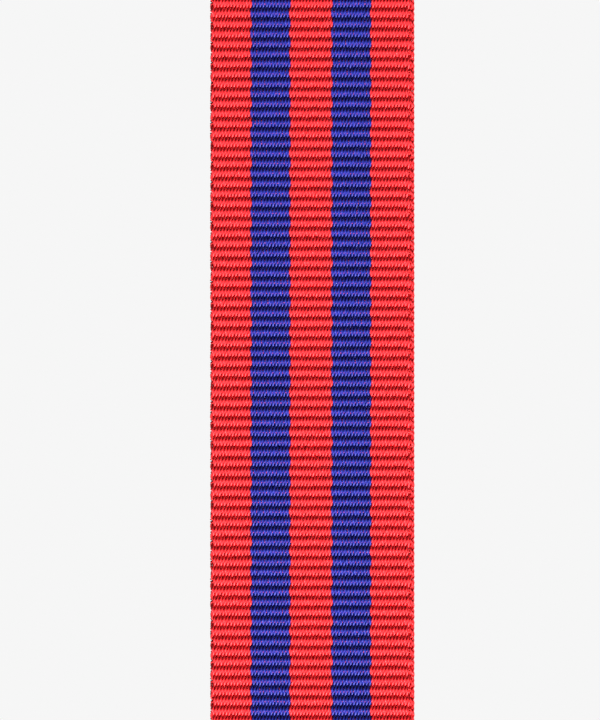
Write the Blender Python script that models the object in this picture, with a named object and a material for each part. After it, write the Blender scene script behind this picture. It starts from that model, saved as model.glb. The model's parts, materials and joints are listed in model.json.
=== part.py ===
"""Length of woven medal ribbon, hanging from its sewn top end. Metres, +Z up.

The cloth is a warp-faced rib weave. Five stripes of warp yarn run down the ribbon and wrap a weft
that crosses it, with one double pick of weft inside each rib. The weft turns round the left edge,
and its loops on the right edge are held by a lock thread.

The ribbon bends along the grooves between its ribs. It is a chain of equal lengths, each a rigid
body with its own piece of every stripe, of the weft and of the lock thread, and each turns about
the groove above it, at mid-thickness.

+X is the right edge seen from the front, the front faces -Y, and the origin is on the back, in the
middle of the flat edge at the top end.
"""

import math

import bpy

# Weave
PICK_WIDTH = 0.00050         # the two strands of a pick, side by side
CROSSING_WIDTH = 0.00028     # between two picks, where the warp crosses from front to back
RIBS_PER_LENGTH = 16
LENGTH_COUNT = 6
END_SPACING = 0.0001265      # one warp yarn's share of the width, front and back yarns counted
EDGE_RED_ENDS = 24           # warp yarns in each outer stripe
BLUE_ENDS = 24
CENTRE_RED_ENDS = 26

# Thickness
WEFT_THICKNESS = 0.00022
WARP_THICKNESS = 0.00016     # the warp over the weft, at the top of a rib
GROOVE_DEPTH = 0.0001        # from a rib's top to the groove beside it

# Edges
TURN_WIDTH = 0.000155        # how far the weft stands out at the left edge
LOOP_REACH = 0.00018         # how far a pick's loop runs into the lock thread
LOCK_WIDTH = 0.000412
LOCK_THICKNESS = 0.00030
SCALLOP_DEPTH = 0.00006      # the waves of both edges

# Fits and bending
YARN_GAP = 0.00002           # between neighbouring pieces of one length
BEND_GAP = 0.00004           # between two lengths, on the line that they turn about
BEND_LIMIT = math.radians(45)
BEND_MARGIN = math.radians(1.5)

RIB_PITCH = PICK_WIDTH + CROSSING_WIDTH
THICKNESS = WEFT_THICKNESS + 2 * (YARN_GAP + WARP_THICKNESS)
CREST = THICKNESS / 2
GROOVE = CREST - GROOVE_DEPTH
LENGTH = RIBS_PER_LENGTH * RIB_PITCH
WARP_WIDTH = (2 * EDGE_RED_ENDS + 2 * BLUE_ENDS + CENTRE_RED_ENDS) * END_SPACING
RIBBON_WIDTH = TURN_WIDTH + WARP_WIDTH + LOCK_WIDTH
LEFT_EDGE = -RIBBON_WIDTH / 2
RIGHT_EDGE = RIBBON_WIDTH / 2
WARP_LEFT = LEFT_EDGE + TURN_WIDTH
WARP_RIGHT = RIGHT_EDGE - LOCK_WIDTH
MOUNT_DROP = RIB_PITCH / 4   # from the cut top end to the middle of its flat edge
END_TAPER = math.tan(BEND_LIMIT / 2 + BEND_MARGIN)

# Yarns: colour and roughness
RED_WARP = (0.60, 0.032, 0.040), 0.6
BLUE_WARP = (0.031, 0.034, 0.230), 0.6
RED_WEFT = (0.42, 0.020, 0.024), 0.7
RED_LOCK = (0.60, 0.032, 0.040), 0.6


def clear_scene():
    for thing in list(bpy.data.objects):
        bpy.data.objects.remove(thing)


def yarn_material(name, yarn):
    colour, roughness = yarn
    material = bpy.data.materials.new(name)
    material.use_nodes = True
    shader = material.node_tree.nodes["Principled BSDF"]
    shader.inputs["Base Color"].default_value = (*colour, 1)
    shader.inputs["Roughness"].default_value = roughness
    shader.inputs["Metallic"].default_value = 0
    return material


def slab(name, outlines, thickness, yarn, collection):
    """A flat piece: its outlines, filled, and given a thickness along the curve's own Z."""
    curve = bpy.data.curves.new(name, "CURVE")
    curve.dimensions = "2D"
    curve.fill_mode = "BOTH"
    curve.extrude = thickness / 2
    for outline in outlines:
        spline = curve.splines.new("POLY")
        spline.points.add(len(outline) - 1)
        for point, (x, y) in zip(spline.points, outline):
            point.co = (x, y, 0, 1)
        spline.use_cyclic_u = True
    curve.materials.append(yarn_material(name, yarn))
    piece = bpy.data.objects.new(name, curve)
    collection.objects.link(piece)
    return piece


def rib_centres():
    """The middle of each rib, as a distance down from the top of its length."""
    return [(rib + 0.5) * RIB_PITCH for rib in range(RIBS_PER_LENGTH)]


def end_points(cut):
    """One end of a length, seen from its side, as (distance in from the end, half-thickness).

    A cut end stays flat and thick. An end that bends tapers to the line that it turns about.
    """
    if cut:
        return [(0, CREST)]
    tip = BEND_GAP / 2
    return [(tip, 0), (tip + GROOVE * END_TAPER, GROOVE)]


def warp_outline(top_is_cut, bottom_is_cut):
    """A stripe seen from its side, as (distance down, distance back): ribs on both faces."""
    face = end_points(top_is_cut)
    for centre in rib_centres():
        face.append((centre, CREST))
        face.append((centre + RIB_PITCH / 2, GROOVE))
    face.pop()
    face += [(LENGTH - inset, half) for inset, half in reversed(end_points(bottom_is_cut))]
    back = [(down, -half) for down, half in reversed(face) if half > 0]
    return face + back


def weft_slot():
    """The opening through a stripe that the picks of one length lie in."""
    inset = (RIB_PITCH - PICK_WIDTH) / 2 - YARN_GAP
    half = WEFT_THICKNESS / 2 + YARN_GAP
    return [(inset, half), (LENGTH - inset, half), (LENGTH - inset, -half), (inset, -half)]


def weft_outline():
    """The weft of one length seen from the front, as (across, up): picks, joined by its turns."""
    turns, picks = [], []
    inner = WARP_LEFT - YARN_GAP
    tip = WARP_RIGHT + YARN_GAP + LOOP_REACH
    half = PICK_WIDTH / 2
    for centre in rib_centres():
        turns += [(LEFT_EDGE + SCALLOP_DEPTH, -centre), (LEFT_EDGE, -centre - RIB_PITCH / 2)]
        picks += [(inner, -centre + half), (tip, -centre + half)]
        picks += [(tip, -centre - half), (inner, -centre - half)]
    first, last = picks[0][1], picks[-1][1]
    turns = [(LEFT_EDGE + SCALLOP_DEPTH, first)] + turns[:-1] + [(LEFT_EDGE + SCALLOP_DEPTH, last)]
    return turns + picks[-2:0:-1]


def lock_outline():
    """The lock thread of one length seen from the front: waves outside, pockets for the loops."""
    waves, pockets = [], []
    inner = WARP_RIGHT + YARN_GAP
    floor = inner + LOOP_REACH + YARN_GAP
    half = PICK_WIDTH / 2 + YARN_GAP
    end = BEND_GAP / 2 + LOCK_THICKNESS / 2 * END_TAPER
    for centre in rib_centres():
        waves += [(RIGHT_EDGE, -centre), (RIGHT_EDGE - SCALLOP_DEPTH, -centre - RIB_PITCH / 2)]
        pockets += [(inner, -centre + half), (floor, -centre + half)]
        pockets += [(floor, -centre - half), (inner, -centre - half)]
    dip = RIGHT_EDGE - SCALLOP_DEPTH
    waves = [(dip, -end)] + waves[:-1] + [(dip, -LENGTH + end)]
    pockets = [(inner, -end)] + pockets + [(inner, -LENGTH + end)]
    return waves + pockets[::-1]


def place(piece, parent, location, rotation):
    piece.parent = parent
    piece.location = location
    piece.rotation_euler = rotation


def stripes():
    """Name, number of warp yarns and yarn of each stripe, from the left edge to the right."""
    return [
        ("left_red_stripe", EDGE_RED_ENDS, RED_WARP),
        ("left_blue_stripe", BLUE_ENDS, BLUE_WARP),
        ("centre_red_stripe", CENTRE_RED_ENDS, RED_WARP),
        ("right_blue_stripe", BLUE_ENDS, BLUE_WARP),
        ("right_red_stripe", EDGE_RED_ENDS, RED_WARP),
    ]


def make_length(number, parent, collection):
    """All the pieces of one length, hung from the empty on the line that it turns about."""
    outlines = [warp_outline(number == 1, number == LENGTH_COUNT), weft_slot()]
    side_view = (0, math.pi / 2, 0)
    front_view = (math.pi / 2, 0, 0)
    left = WARP_LEFT
    for name, ends, yarn in stripes():
        width = ends * END_SPACING
        stripe = slab(f"{name}_{number}", outlines, width - YARN_GAP, yarn, collection)
        place(stripe, parent, (left + width / 2, 0, 0), side_view)
        left += width
    weft = slab(f"weft_{number}", [weft_outline()], WEFT_THICKNESS, RED_WEFT, collection)
    place(weft, parent, (0, 0, 0), front_view)
    lock = slab(f"lock_thread_{number}", [lock_outline()], LOCK_THICKNESS, RED_LOCK, collection)
    place(lock, parent, (0, 0, 0), front_view)


def make_ribbon():
    collection = bpy.data.collections.new("medal_ribbon")
    bpy.context.scene.collection.children.link(collection)
    above = None
    for number in range(1, LENGTH_COUNT + 1):
        turn = bpy.data.objects.new("top_end" if above is None else f"bend_{number - 1}", None)
        collection.objects.link(turn)
        turn.empty_display_size = RIB_PITCH
        turn.parent = above
        turn.location = (0, -CREST, MOUNT_DROP) if above is None else (0, 0, -LENGTH)
        make_length(number, turn, collection)
        above = turn


clear_scene()
make_ribbon()
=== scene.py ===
"""The looks of the medal ribbon: every yarn of the cloth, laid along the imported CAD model.

Places along the ribbon are counted in ribs, from 0 at its cut top end, and a yarn's depth is its
distance towards the front from the middle of the cloth. Everything is in metres.
"""

import json
import math

import bpy
import numpy as np
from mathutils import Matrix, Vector

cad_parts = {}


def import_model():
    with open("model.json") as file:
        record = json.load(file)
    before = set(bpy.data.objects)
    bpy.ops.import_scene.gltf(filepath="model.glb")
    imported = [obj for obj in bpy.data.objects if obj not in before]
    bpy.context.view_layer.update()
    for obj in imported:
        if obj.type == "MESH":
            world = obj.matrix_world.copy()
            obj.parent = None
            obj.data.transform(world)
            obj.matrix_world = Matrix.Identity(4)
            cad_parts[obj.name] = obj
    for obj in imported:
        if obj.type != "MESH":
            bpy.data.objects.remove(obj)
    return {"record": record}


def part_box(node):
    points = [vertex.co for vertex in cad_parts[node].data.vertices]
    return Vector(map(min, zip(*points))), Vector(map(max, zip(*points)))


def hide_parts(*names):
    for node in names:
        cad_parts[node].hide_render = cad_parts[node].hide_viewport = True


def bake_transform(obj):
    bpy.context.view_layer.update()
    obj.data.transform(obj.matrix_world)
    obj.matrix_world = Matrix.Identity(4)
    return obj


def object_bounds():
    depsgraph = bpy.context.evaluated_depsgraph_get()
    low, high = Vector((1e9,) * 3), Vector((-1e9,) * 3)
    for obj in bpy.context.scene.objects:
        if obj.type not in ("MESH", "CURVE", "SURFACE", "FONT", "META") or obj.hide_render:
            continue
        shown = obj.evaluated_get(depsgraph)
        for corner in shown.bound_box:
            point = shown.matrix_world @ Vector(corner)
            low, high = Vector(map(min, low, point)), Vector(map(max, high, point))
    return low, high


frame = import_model()
cad_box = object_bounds()

MM = 0.001

# The cloth, as the CAD model has it
RIBS_PER_LENGTH = 16
STRIPES = [
    ("left_red_stripe", 24, "red_warp"),
    ("left_blue_stripe", 24, "blue_warp"),
    ("centre_red_stripe", 26, "red_warp"),
    ("right_blue_stripe", 24, "blue_warp"),
    ("right_red_stripe", 24, "red_warp"),
]
END_COUNT = sum(ends for _, ends, _ in STRIPES)

# Warp yarn: two plies, side by side on top of a rib and one behind the other in a groove
RINGS_PER_RIB = 8
WARP_SIDES = 12
WARP_CREST = 0.232 * MM      # depth of a yarn's middle on top of a rib
CREST_SHARPNESS = 0.04       # how much sooner the yarn leaves the top of the rib than a plain wave
CREST_WIDTH = 0.256 * MM     # across both plies, side by side
GROOVE_WIDTH = 0.168 * MM    # across one ply, where both are squeezed between their neighbours
CREST_PLY = (0.062 * MM, 0.068 * MM)    # from the yarn's middle to a ply's, and a ply's radius
GROOVE_PLY = (0.045 * MM, 0.078 * MM)
LEAN = 0.008 * MM            # half of a yarn's drift to the left on its way down the front of a rib

# Weft yarn: across and back inside each rib, then round the left edge to the next
WEFT_SIDES = 8
WEFT_POINTS = 16             # points of its path in each rib
WEFT_STEPS = 4               # rings for each of those points
WEFT_TWIST = 1.1 * MM        # length of a full turn of its plies
WEFT_TWIST_STEP = 0.1 * MM   # the most that one step adds to that length, across the long picks
STRAND_SPACING = 0.19 * MM
WEFT_RADIUS = 0.103 * MM     # from the yarn's middle to the far side of a ply
WEFT_OFFSET = 0.03 * MM      # from the yarn's middle to a ply's
EDGE_INSET = 0.4 * MM        # from the warp's sides to where a pick runs straight
TURN_INSET = (0.070 * MM, 0.098 * MM)   # from the left edge to a turn's middle, least and most

# Lock thread: its legs' points in each rib, as (across from the warp, depth, part of a rib down)
WOUND_LEG = [
    (0.05 * MM, 0.05 * MM, 0.27),
    (0.12 * MM, 0.12 * MM, 0.45),
    (0.20 * MM, 0.135 * MM, 0.67),
    (0.27 * MM, 0.09 * MM, 0.85),
    (0.31 * MM, 0.0, 0.93),
    (0.27 * MM, -0.09 * MM, 0.90),
    (0.17 * MM, -0.12 * MM, 0.87),
    (0.07 * MM, -0.08 * MM, 0.98),
]
EDGE_LEG = [
    (0.315 * MM, 0.02 * MM, 0.10),
    (0.290 * MM, 0.04 * MM, 0.40),
    (0.310 * MM, 0.05 * MM, 0.70),
]
CORE_LEG = [(across - 0.18 * MM, -0.03 * MM, part) for across, _, part in EDGE_LEG]
WOUND_STEPS = 2
STRAIGHT_STEPS = 4           # for the edge and core legs
LOCK_SIDES = 8
LOCK_PLY = (0.042 * MM, 0.058 * MM)
CORE_PLY = (0.07 * MM, 0.09 * MM)
LOCK_TWIST = 0.9 * MM
CORE_TWIST = 1.3 * MM

# Unevenness of the warp yarns, as standard deviations
SIDE_WANDER = 0.006 * MM
DEPTH_WANDER = 0.006 * MM
TWIST_WANDER = math.radians(9)
SWELL = 0.03

# Shades, from 0 for the darker colour up; streaks add up to a half
MOST_WARP_SHADE = 0.5        # each warp yarn has its own, up to this
EVEN_SHADE = 0.25            # of the weft and the lock thread
STREAK_SHARE = 0.5
STREAK_SCALE = (600, 60, 1)  # across a strand and along it, on the map
STREAK_DEPTH = 0.01 * MM

# The map: each strand has its own columns, and its caps lie in the free parts at their ends
MAP_END = 0.02               # share of the map's height left free at each end
MAP_SIDE = 0.03              # share of a column's width left free at each side
CAP_AT = 0.008               # from the end of the map to a cap's middle
CAP_SIZE = (0.4, 0.006)      # half its width, as a share of a column, and half its height

# Light and camera
GROUND = 0.922               # the pale ground, as the camera sees it
AMBIENT = 0.24
FLOOR_GLOW = 0.72
FLOOR_Z = -2.5               # well below the lamps, so that they light it evenly
FLOOR_SIZE = 20
CAMERA_DISTANCE = 312.8 * MM
CAMERA_RIGHT = -0.98 * MM    # how far the camera stands from the ribbon's middle
CAMERA_UP = 0.486 * MM

joints = frame["record"]["behaviour"]["joints"]
hinges = [joint["pos_m"] for joint in joints]
length = hinges[0][2] - hinges[1][2]
rib_pitch = length / RIBS_PER_LENGTH
rib_count = RIBS_PER_LENGTH * (len(joints) + 1)
top = hinges[0][2] + length
middle = hinges[0][1]
half_length = RIBS_PER_LENGTH // 2
cuts = [0] + [RIBS_PER_LENGTH * i + half_length for i in range(1, len(joints))] + [rib_count]
warp_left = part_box("left_red_stripe_1")[0][0]
warp_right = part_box("right_red_stripe_1")[1][0]
end_spacing = (warp_right - warp_left) / END_COUNT


def world(across, depth, down):
    """Points from their place across the ribbon, towards its front and down from its top end."""
    return np.stack(np.broadcast_arrays(across, middle - depth, top - down), axis=-1)


def smooth(part):
    return part * part * (3 - 2 * part)


def wander(rng, yarns, place, deviation):
    """A random drift of each yarn, with a new value at each rib and a smooth way between them."""
    values = rng.normal(0, deviation, (yarns, rib_count + 2))
    rib = np.floor(place).astype(int)
    part = smooth(place - rib)
    return values[:, rib] * (1 - part) + values[:, rib + 1] * part


def two_ply(sides, turn, offset, radius):
    """The outline of two plies that touch, as (across, up), with the line through them at turn."""
    angle = np.arange(sides) * (2 * math.pi / sides)
    offset, radius = np.asarray(offset)[..., None], np.asarray(radius)[..., None]
    reach = offset * np.abs(np.cos(angle)) + np.sqrt(radius**2 - (offset * np.sin(angle)) ** 2)
    angle = angle + turn[..., None]
    return reach * np.cos(angle), reach * np.sin(angle)


def warp_rings(rng):
    """Every warp yarn as rings of points: yarn, ring, side, point."""
    place = np.arange(rib_count * RINGS_PER_RIB + 1) / RINGS_PER_RIB
    yarn = np.arange(END_COUNT)[:, None]
    phase = math.pi * (place - 0.5 - yarn % 2)
    swell = 1 + wander(rng, END_COUNT, place, SWELL)
    depth = WARP_CREST * np.cos(phase) + wander(rng, END_COUNT, place, DEPTH_WANDER)
    down = rib_pitch * (place - CREST_SHARPNESS * np.sin(2 * phase))
    across = warp_left + (yarn + 0.5) * end_spacing - LEAN * np.sin(phase)
    across = across + wander(rng, END_COUNT, place, SIDE_WANDER)
    slope_down = np.gradient(down, axis=1)
    slope_deep = np.gradient(depth, axis=1)
    steep = np.hypot(slope_down, slope_deep)
    turn = phase + wander(rng, END_COUNT, place, TWIST_WANDER)
    crest = np.cos(phase) ** 2
    offset, radius = [low + (high - low) * crest for low, high in zip(GROOVE_PLY, CREST_PLY)]
    sideways, outward = two_ply(WARP_SIDES, turn, offset, radius)
    half_width = (GROOVE_WIDTH + (CREST_WIDTH - GROOVE_WIDTH) * crest**0.5) / 2
    natural = offset * np.abs(np.cos(turn)) + radius
    sideways = sideways * (swell * half_width / natural)[..., None]
    return world(
        across[..., None] + sideways,
        depth[..., None] + outward * (slope_down / steep)[..., None],
        down[..., None] - outward * (slope_deep / steep)[..., None],
    )


def through(points, steps):
    """A smooth curve through points, with a number of steps between each two (Catmull-Rom)."""
    points = np.asarray(points, float)
    padded = np.vstack([2 * points[0] - points[1], points, 2 * points[-1] - points[-2]])
    t = (np.arange(steps) / steps)[:, None, None]
    a, b, c, d = padded[:-3], padded[1:-2], padded[2:-1], padded[3:]
    curve = 2 * b + (c - a) * t + (2 * a - 5 * b + 4 * c - d) * t**2 + (3 * b - a - 3 * c + d) * t**3
    curve = 0.5 * curve
    return np.vstack([curve.transpose(1, 0, 2).reshape(-1, 3), points[-1]])


def tube(path, sides, turn, offset, radius):
    """Rings of a two-ply yarn along any path of world points."""
    tangent = np.gradient(path, axis=0)
    tangent /= np.linalg.norm(tangent, axis=1, keepdims=True)
    side = np.cross(tangent[0], (0.3, 0.9, 0.3))
    sides_of_path = []
    for direction in tangent:
        side = side - side.dot(direction) * direction
        side = side / np.linalg.norm(side)
        sides_of_path.append(side)
    across = np.array(sides_of_path)
    up = np.cross(tangent, across)
    sideways, outward = two_ply(sides, turn, offset, radius)
    return path[:, None] + across[:, None] * sideways[..., None] + up[:, None] * outward[..., None]


def weft_path():
    """The weft's way, rib by rib, as points across, deep and down, with WEFT_POINTS a rib."""
    inner_left = warp_left + EDGE_INSET
    inner_right = warp_right - EDGE_INSET
    half = STRAND_SPACING / 2
    rng = np.random.default_rng(7)
    path = []
    for rib in range(rib_count):
        turn_x = cad_box[0][0] + rng.uniform(*TURN_INSET)
        middle_down = (rib + 0.5) * rib_pitch
        upper, lower = middle_down - half, middle_down + half
        deep = 0.02 * MM * (-1) ** rib
        path += [
            (turn_x + 0.10 * MM, deep, upper - 0.02 * MM),
            (inner_left, 0, upper),
            (inner_left * 0.33, 0, upper),
            (inner_right * 0.33, 0, upper),
            (inner_right, 0, upper),
            (warp_right + 0.02 * MM, 0.04 * MM, upper),
            (warp_right + 0.14 * MM, 0.0, middle_down + 0.02 * MM),
            (warp_right + 0.02 * MM, -0.04 * MM, lower),
            (inner_right, 0, lower),
            (inner_right * 0.33, 0, lower),
            (inner_left * 0.33, 0, lower),
            (inner_left, 0, lower),
            (turn_x + 0.10 * MM, -deep, lower + 0.02 * MM),
            (turn_x + 0.02 * MM, 0, lower + 0.13 * MM),
            (turn_x, 0, (rib + 1) * rib_pitch),
            (turn_x + 0.02 * MM, 0, (rib + 1) * rib_pitch + rib_pitch / 2 - half - 0.13 * MM),
        ]
    return path[:-2]


def path_and_steps(points, steps):
    """A smooth path through places in the cloth, and the length of each of its steps."""
    curve = through(points, steps)
    path = world(curve[:, 0], curve[:, 1], curve[:, 2])
    return path, np.linalg.norm(np.diff(path, axis=0), axis=1)


def plies_turn(step, twist):
    """How far the plies have turned at each ring."""
    return np.concatenate([[0], np.cumsum(step)]) * (2 * math.pi / twist)


def weft_rings():
    tail = (warp_left, 0, 0.28 * MM)
    path, step = path_and_steps([tail] + weft_path(), WEFT_STEPS)
    turn = plies_turn(np.minimum(step, WEFT_TWIST_STEP), WEFT_TWIST)
    return tube(path, WEFT_SIDES, turn, WEFT_OFFSET, WEFT_RADIUS - WEFT_OFFSET)


def lock_rings(leg, steps, ply, twist):
    """One leg of the lock thread, with the same points in every rib."""
    points = [
        (warp_right + across, depth, (rib + part) * rib_pitch)
        for rib in range(rib_count)
        for across, depth, part in leg
    ]
    path, step = path_and_steps(points, steps)
    return tube(path, LOCK_SIDES, plies_turn(step, twist), *ply)


def strand_quads(count, sides):
    """The corners of each face between a strand's rings."""
    ring = np.arange(count - 1)[:, None] * sides
    side = np.arange(sides)
    after = (side + 1) % sides
    quads = np.stack([ring + side, ring + after, ring + sides + after, ring + sides + side], axis=-1)
    return quads.reshape(-1, 4)


def strand_map(count, sides, column, columns, folds):
    """Where each corner of a strand's quads lies on the map: one strip a fold, side by side."""
    ring = np.arange(count - 1)
    per_fold = -(-(count - 1) // folds)
    fold = ring // per_fold
    height = (1 - 2 * MAP_END) / per_fold
    width = (1 - 2 * MAP_SIDE) / sides
    low = (MAP_END + height * (ring - fold * per_fold))[:, None] + np.zeros(sides)
    high = low + height
    left = (column + fold)[:, None] + MAP_SIDE + width * np.arange(sides)
    right = left + width
    corners = [(left, low), (right, low), (right, high), (left, high)]
    return np.stack([np.stack([u / columns, v], axis=-1) for u, v in corners], axis=-2).reshape(-1, 2)


def cap_map(sides, column, columns, middle_v):
    """Where a strand's end cap lies on the map, above or below its strip."""
    angle = np.arange(sides) * (2 * math.pi / sides)
    u = (column + 0.5 + CAP_SIZE[0] * np.cos(angle)) / columns
    v = middle_v + CAP_SIZE[1] * np.sin(angle)
    return np.stack([u, v], axis=-1)


def strand_piece(name, strands, material):
    """One mesh piece from closed strands, each (rings, folds on the map, shade of the yarn)."""
    points, corners, starts, uvs, shades = [], [], [], [], []
    columns = sum(folds for _, folds, _ in strands)
    column = first = corner = 0
    for rings, folds, shade in strands:
        count, sides = rings.shape[:2]
        points.append(rings.reshape(-1, 3))
        shades.append(np.full(count * sides, shade))
        quads = strand_quads(count, sides) + first
        start_cap = first + np.arange(sides)[::-1]
        end_cap = first + (count - 1) * sides + np.arange(sides)
        corners += [quads.ravel(), start_cap, end_cap]
        starts += [corner + 4 * np.arange(len(quads))]
        corner += 4 * len(quads)
        starts += [np.array([corner, corner + sides])]
        corner += 2 * sides
        uvs += [strand_map(count, sides, column, columns, folds)]
        uvs += [cap_map(sides, column, columns, CAP_AT)]
        uvs += [cap_map(sides, column + folds - 1, columns, 1 - CAP_AT)]
        first += count * sides
        column += folds
    points, corners, starts = np.concatenate(points), np.concatenate(corners), np.concatenate(starts)
    mesh = bpy.data.meshes.new(name)
    mesh.vertices.add(len(points))
    mesh.vertices.foreach_set("co", points.astype(np.float32).ravel())
    mesh.loops.add(len(corners))
    mesh.loops.foreach_set("vertex_index", corners.astype(np.int32))
    mesh.polygons.add(len(starts))
    mesh.polygons.foreach_set("loop_start", starts.astype(np.int32))
    mesh.update(calc_edges=True)
    mesh.shade_smooth()
    uvs = np.concatenate(uvs).astype(np.float32)
    mesh.uv_layers.new(name="OFBake").data.foreach_set("uv", uvs.ravel())
    shade = mesh.attributes.new("shade", "FLOAT", "POINT")
    shade.data.foreach_set("value", np.concatenate(shades).astype(np.float32))
    mesh.materials.append(material)
    piece = bpy.data.objects.new(name, mesh)
    bpy.context.scene.collection.objects.link(piece)
    return piece


def yarn_material(name, light, dark, roughness):
    """Dyed yarn: each yarn a little lighter or darker, with fine streaks along its fibres."""
    material = bpy.data.materials.new(name)
    material.use_nodes = True
    nodes, links = material.node_tree.nodes, material.node_tree.links
    shader = nodes["Principled BSDF"]
    shader.inputs["Roughness"].default_value = roughness
    shader.inputs["Specular IOR Level"].default_value = 0.3
    shader.inputs["Sheen Weight"].default_value = 0.05
    shader.inputs["Sheen Roughness"].default_value = 0.4
    uv = nodes.new("ShaderNodeUVMap")
    uv.uv_map = "OFBake"
    scale = nodes.new("ShaderNodeMapping")
    scale.inputs["Scale"].default_value = STREAK_SCALE
    links.new(uv.outputs["UV"], scale.inputs["Vector"])
    streaks = nodes.new("ShaderNodeTexNoise")
    streaks.inputs["Scale"].default_value = 1
    streaks.inputs["Detail"].default_value = 2
    links.new(scale.outputs["Vector"], streaks.inputs["Vector"])
    shade = nodes.new("ShaderNodeAttribute")
    shade.attribute_name = "shade"
    total = nodes.new("ShaderNodeMath")
    total.operation = "MULTIPLY_ADD"
    total.inputs[1].default_value = STREAK_SHARE
    links.new(streaks.outputs["Fac"], total.inputs[0])
    links.new(shade.outputs["Fac"], total.inputs[2])
    mix = nodes.new("ShaderNodeMix")
    mix.data_type = "RGBA"
    mix.inputs["A"].default_value = (*dark, 1)
    mix.inputs["B"].default_value = (*light, 1)
    links.new(total.outputs[0], mix.inputs["Factor"])
    links.new(mix.outputs["Result"], shader.inputs["Base Color"])
    bump = nodes.new("ShaderNodeBump")
    bump.inputs["Strength"].default_value = 0.3
    bump.inputs["Distance"].default_value = STREAK_DEPTH
    links.new(streaks.outputs["Fac"], bump.inputs["Height"])
    links.new(bump.outputs["Normal"], shader.inputs["Normal"])
    return material


materials = {
    "red_warp": yarn_material("red_warp", (0.90, 0.026, 0.034), (0.80, 0.016, 0.022), 0.5),
    "blue_warp": yarn_material("blue_warp", (0.014, 0.022, 0.31), (0.008, 0.013, 0.21), 0.5),
    # The weft is the same red yarn as the warp, but its colour is made darker: painted shade where it
    # shows between the floats and at its turns round the left edge.
    "red_weft": yarn_material("red_weft", (0.64, 0.018, 0.022), (0.54, 0.012, 0.015), 0.6),
    "red_lock_thread": yarn_material("red_lock_thread", (0.90, 0.024, 0.030), (0.82, 0.016, 0.020), 0.55),
}


def part_of(rings, start, end, per_rib):
    """The rings of a strand from one rib to another."""
    stop = end * per_rib + 1 if end < rib_count else len(rings)
    return rings[start * per_rib:stop]


def make_stripes(number, start, end, warp, shades):
    pieces = []
    first = 0
    for name, ends, slot in STRIPES:
        yarns = range(first, first + ends)
        strands = [(part_of(warp[yarn], start, end, RINGS_PER_RIB), 1, shades[yarn]) for yarn in yarns]
        pieces.append((name, strand_piece(f"{name}_yarns_{number}", strands, materials[slot])))
        first += ends
    return pieces


def make_sections():
    """The cloth in one section round each hinge, cut half-way between one hinge and the next."""
    rng = np.random.default_rng(16)
    warp = warp_rings(rng)
    shades = rng.uniform(0, MOST_WARP_SHADE, END_COUNT)
    weft = weft_rings()
    wound = lock_rings(WOUND_LEG, WOUND_STEPS, LOCK_PLY, LOCK_TWIST)
    edge = lock_rings(EDGE_LEG, STRAIGHT_STEPS, LOCK_PLY, LOCK_TWIST)
    core = lock_rings(CORE_LEG, STRAIGHT_STEPS, CORE_PLY, CORE_TWIST)
    wound_per_rib = len(WOUND_LEG) * WOUND_STEPS
    straight_per_rib = len(EDGE_LEG) * STRAIGHT_STEPS
    for number, (start, end) in enumerate(zip(cuts[:-1], cuts[1:]), 1):
        named = make_stripes(number, start, end, warp, shades)
        strands = [(part_of(weft, start, end, WEFT_POINTS * WEFT_STEPS), end - start, EVEN_SHADE)]
        weft_piece = strand_piece(f"weft_yarn_{number}", strands, materials["red_weft"])
        strands = [(part_of(wound, start, end, wound_per_rib), 6, EVEN_SHADE)]
        for leg in (edge, core):
            strands.append((part_of(leg, start, end, straight_per_rib), 4, EVEN_SHADE))
        slot = "red_lock_thread"
        lock_piece = strand_piece(f"lock_thread_yarn_{number}", strands, materials[slot])
        named += [("weft", weft_piece), ("lock_thread", lock_piece)]
        lengths = [number] if number < len(joints) else [number, number + 1]
        for name, piece in named:
            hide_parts(*[f"{name}_{i}" for i in lengths])
            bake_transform(piece)


make_sections()

# Stage
centre_z = (cad_box[0][2] + cad_box[1][2]) / 2


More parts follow.
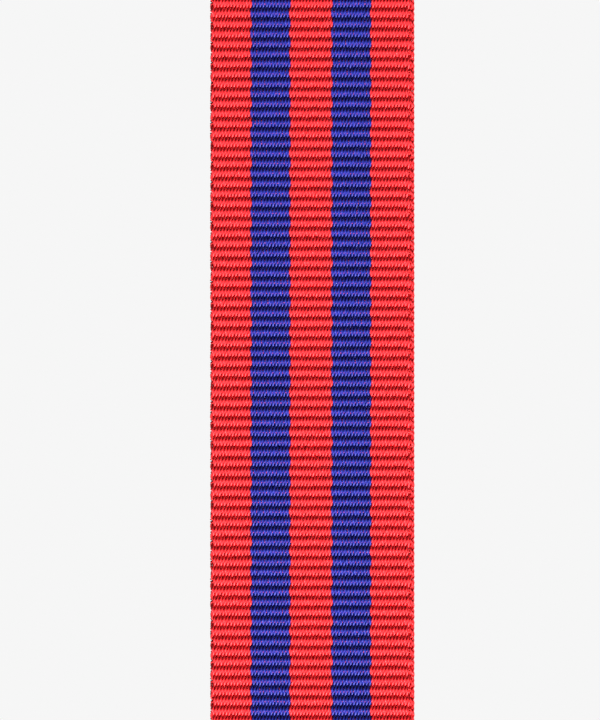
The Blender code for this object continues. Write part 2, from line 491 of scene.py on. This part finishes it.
def make_floor():
    """A pale floor. Only the camera sees its glow, which throws no light on the ribbon."""
    bpy.ops.mesh.primitive_plane_add(size=FLOOR_SIZE, location=(0, 0, FLOOR_Z))
    floor = bpy.context.object
    floor.name = "floor"
    material = bpy.data.materials.new("floor")
    material.use_nodes = True
    shader = material.node_tree.nodes["Principled BSDF"]
    shader.inputs["Base Color"].default_value = (0.9, 0.9, 0.9, 1)
    shader.inputs["Roughness"].default_value = 0.9
    nodes, links = material.node_tree.nodes, material.node_tree.links
    path = nodes.new("ShaderNodeLightPath")
    glow = nodes.new("ShaderNodeMath")
    glow.operation = "MULTIPLY"
    glow.inputs[1].default_value = FLOOR_GLOW
    links.new(path.outputs["Is Camera Ray"], glow.inputs[0])
    links.new(glow.outputs[0], shader.inputs["Emission Strength"])
    shader.inputs["Emission Color"].default_value = (1, 1, 1, 1)
    floor.data.materials.append(material)


def area_light(name, angle_x, angle_z, distance, size, power):
    """A soft light that looks at the ribbon's middle, from angles up and round from its front."""
    light = bpy.data.lights.new(name, "AREA")
    light.shape = "DISK"
    light.size = size
    light.energy = power
    lamp = bpy.data.objects.new(name, light)
    bpy.context.scene.collection.objects.link(lamp)
    direction = Vector((
        math.cos(angle_x) * math.sin(angle_z),
        -math.cos(angle_x) * math.cos(angle_z),
        math.sin(angle_x),
    ))
    lamp.location = Vector((0, middle, centre_z)) + direction * distance
    lamp.rotation_euler = direction.to_track_quat("Z", "Y").to_euler()
    lamp.visible_camera = False


def make_world():
    """A weak even light all round, and the pale ground where the camera looks past the floor."""
    world_data = bpy.data.worlds.new("studio")
    bpy.context.scene.world = world_data
    world_data.use_nodes = True
    nodes, links = world_data.node_tree.nodes, world_data.node_tree.links
    background = nodes["Background"]
    path = nodes.new("ShaderNodeLightPath")
    mix = nodes.new("ShaderNodeMix")
    mix.data_type = "RGBA"
    mix.inputs["A"].default_value = (AMBIENT, AMBIENT, AMBIENT, 1)
    mix.inputs["B"].default_value = (GROUND, GROUND, GROUND, 1)
    links.new(path.outputs["Is Camera Ray"], mix.inputs["Factor"])
    links.new(mix.outputs["Result"], background.inputs["Color"])


def make_camera():
    camera = bpy.data.cameras.new("camera")
    camera.lens = 200
    camera.sensor_width = 36
    view = bpy.data.objects.new("camera", camera)
    bpy.context.scene.collection.objects.link(view)
    view.location = (CAMERA_RIGHT, cad_box[0][1] - CAMERA_DISTANCE, centre_z + CAMERA_UP)
    view.rotation_euler = (math.pi / 2, 0, 0)
    camera.clip_start = 0.01
    bpy.context.scene.camera = view


make_floor()
area_light("key", math.radians(-64), math.radians(15), distance=1.0, size=0.2, power=34)
area_light("back", math.radians(50), math.radians(165), distance=1.0, size=0.4, power=16)
make_world()
make_camera()
bpy.context.scene.view_settings.view_transform = "Standard"
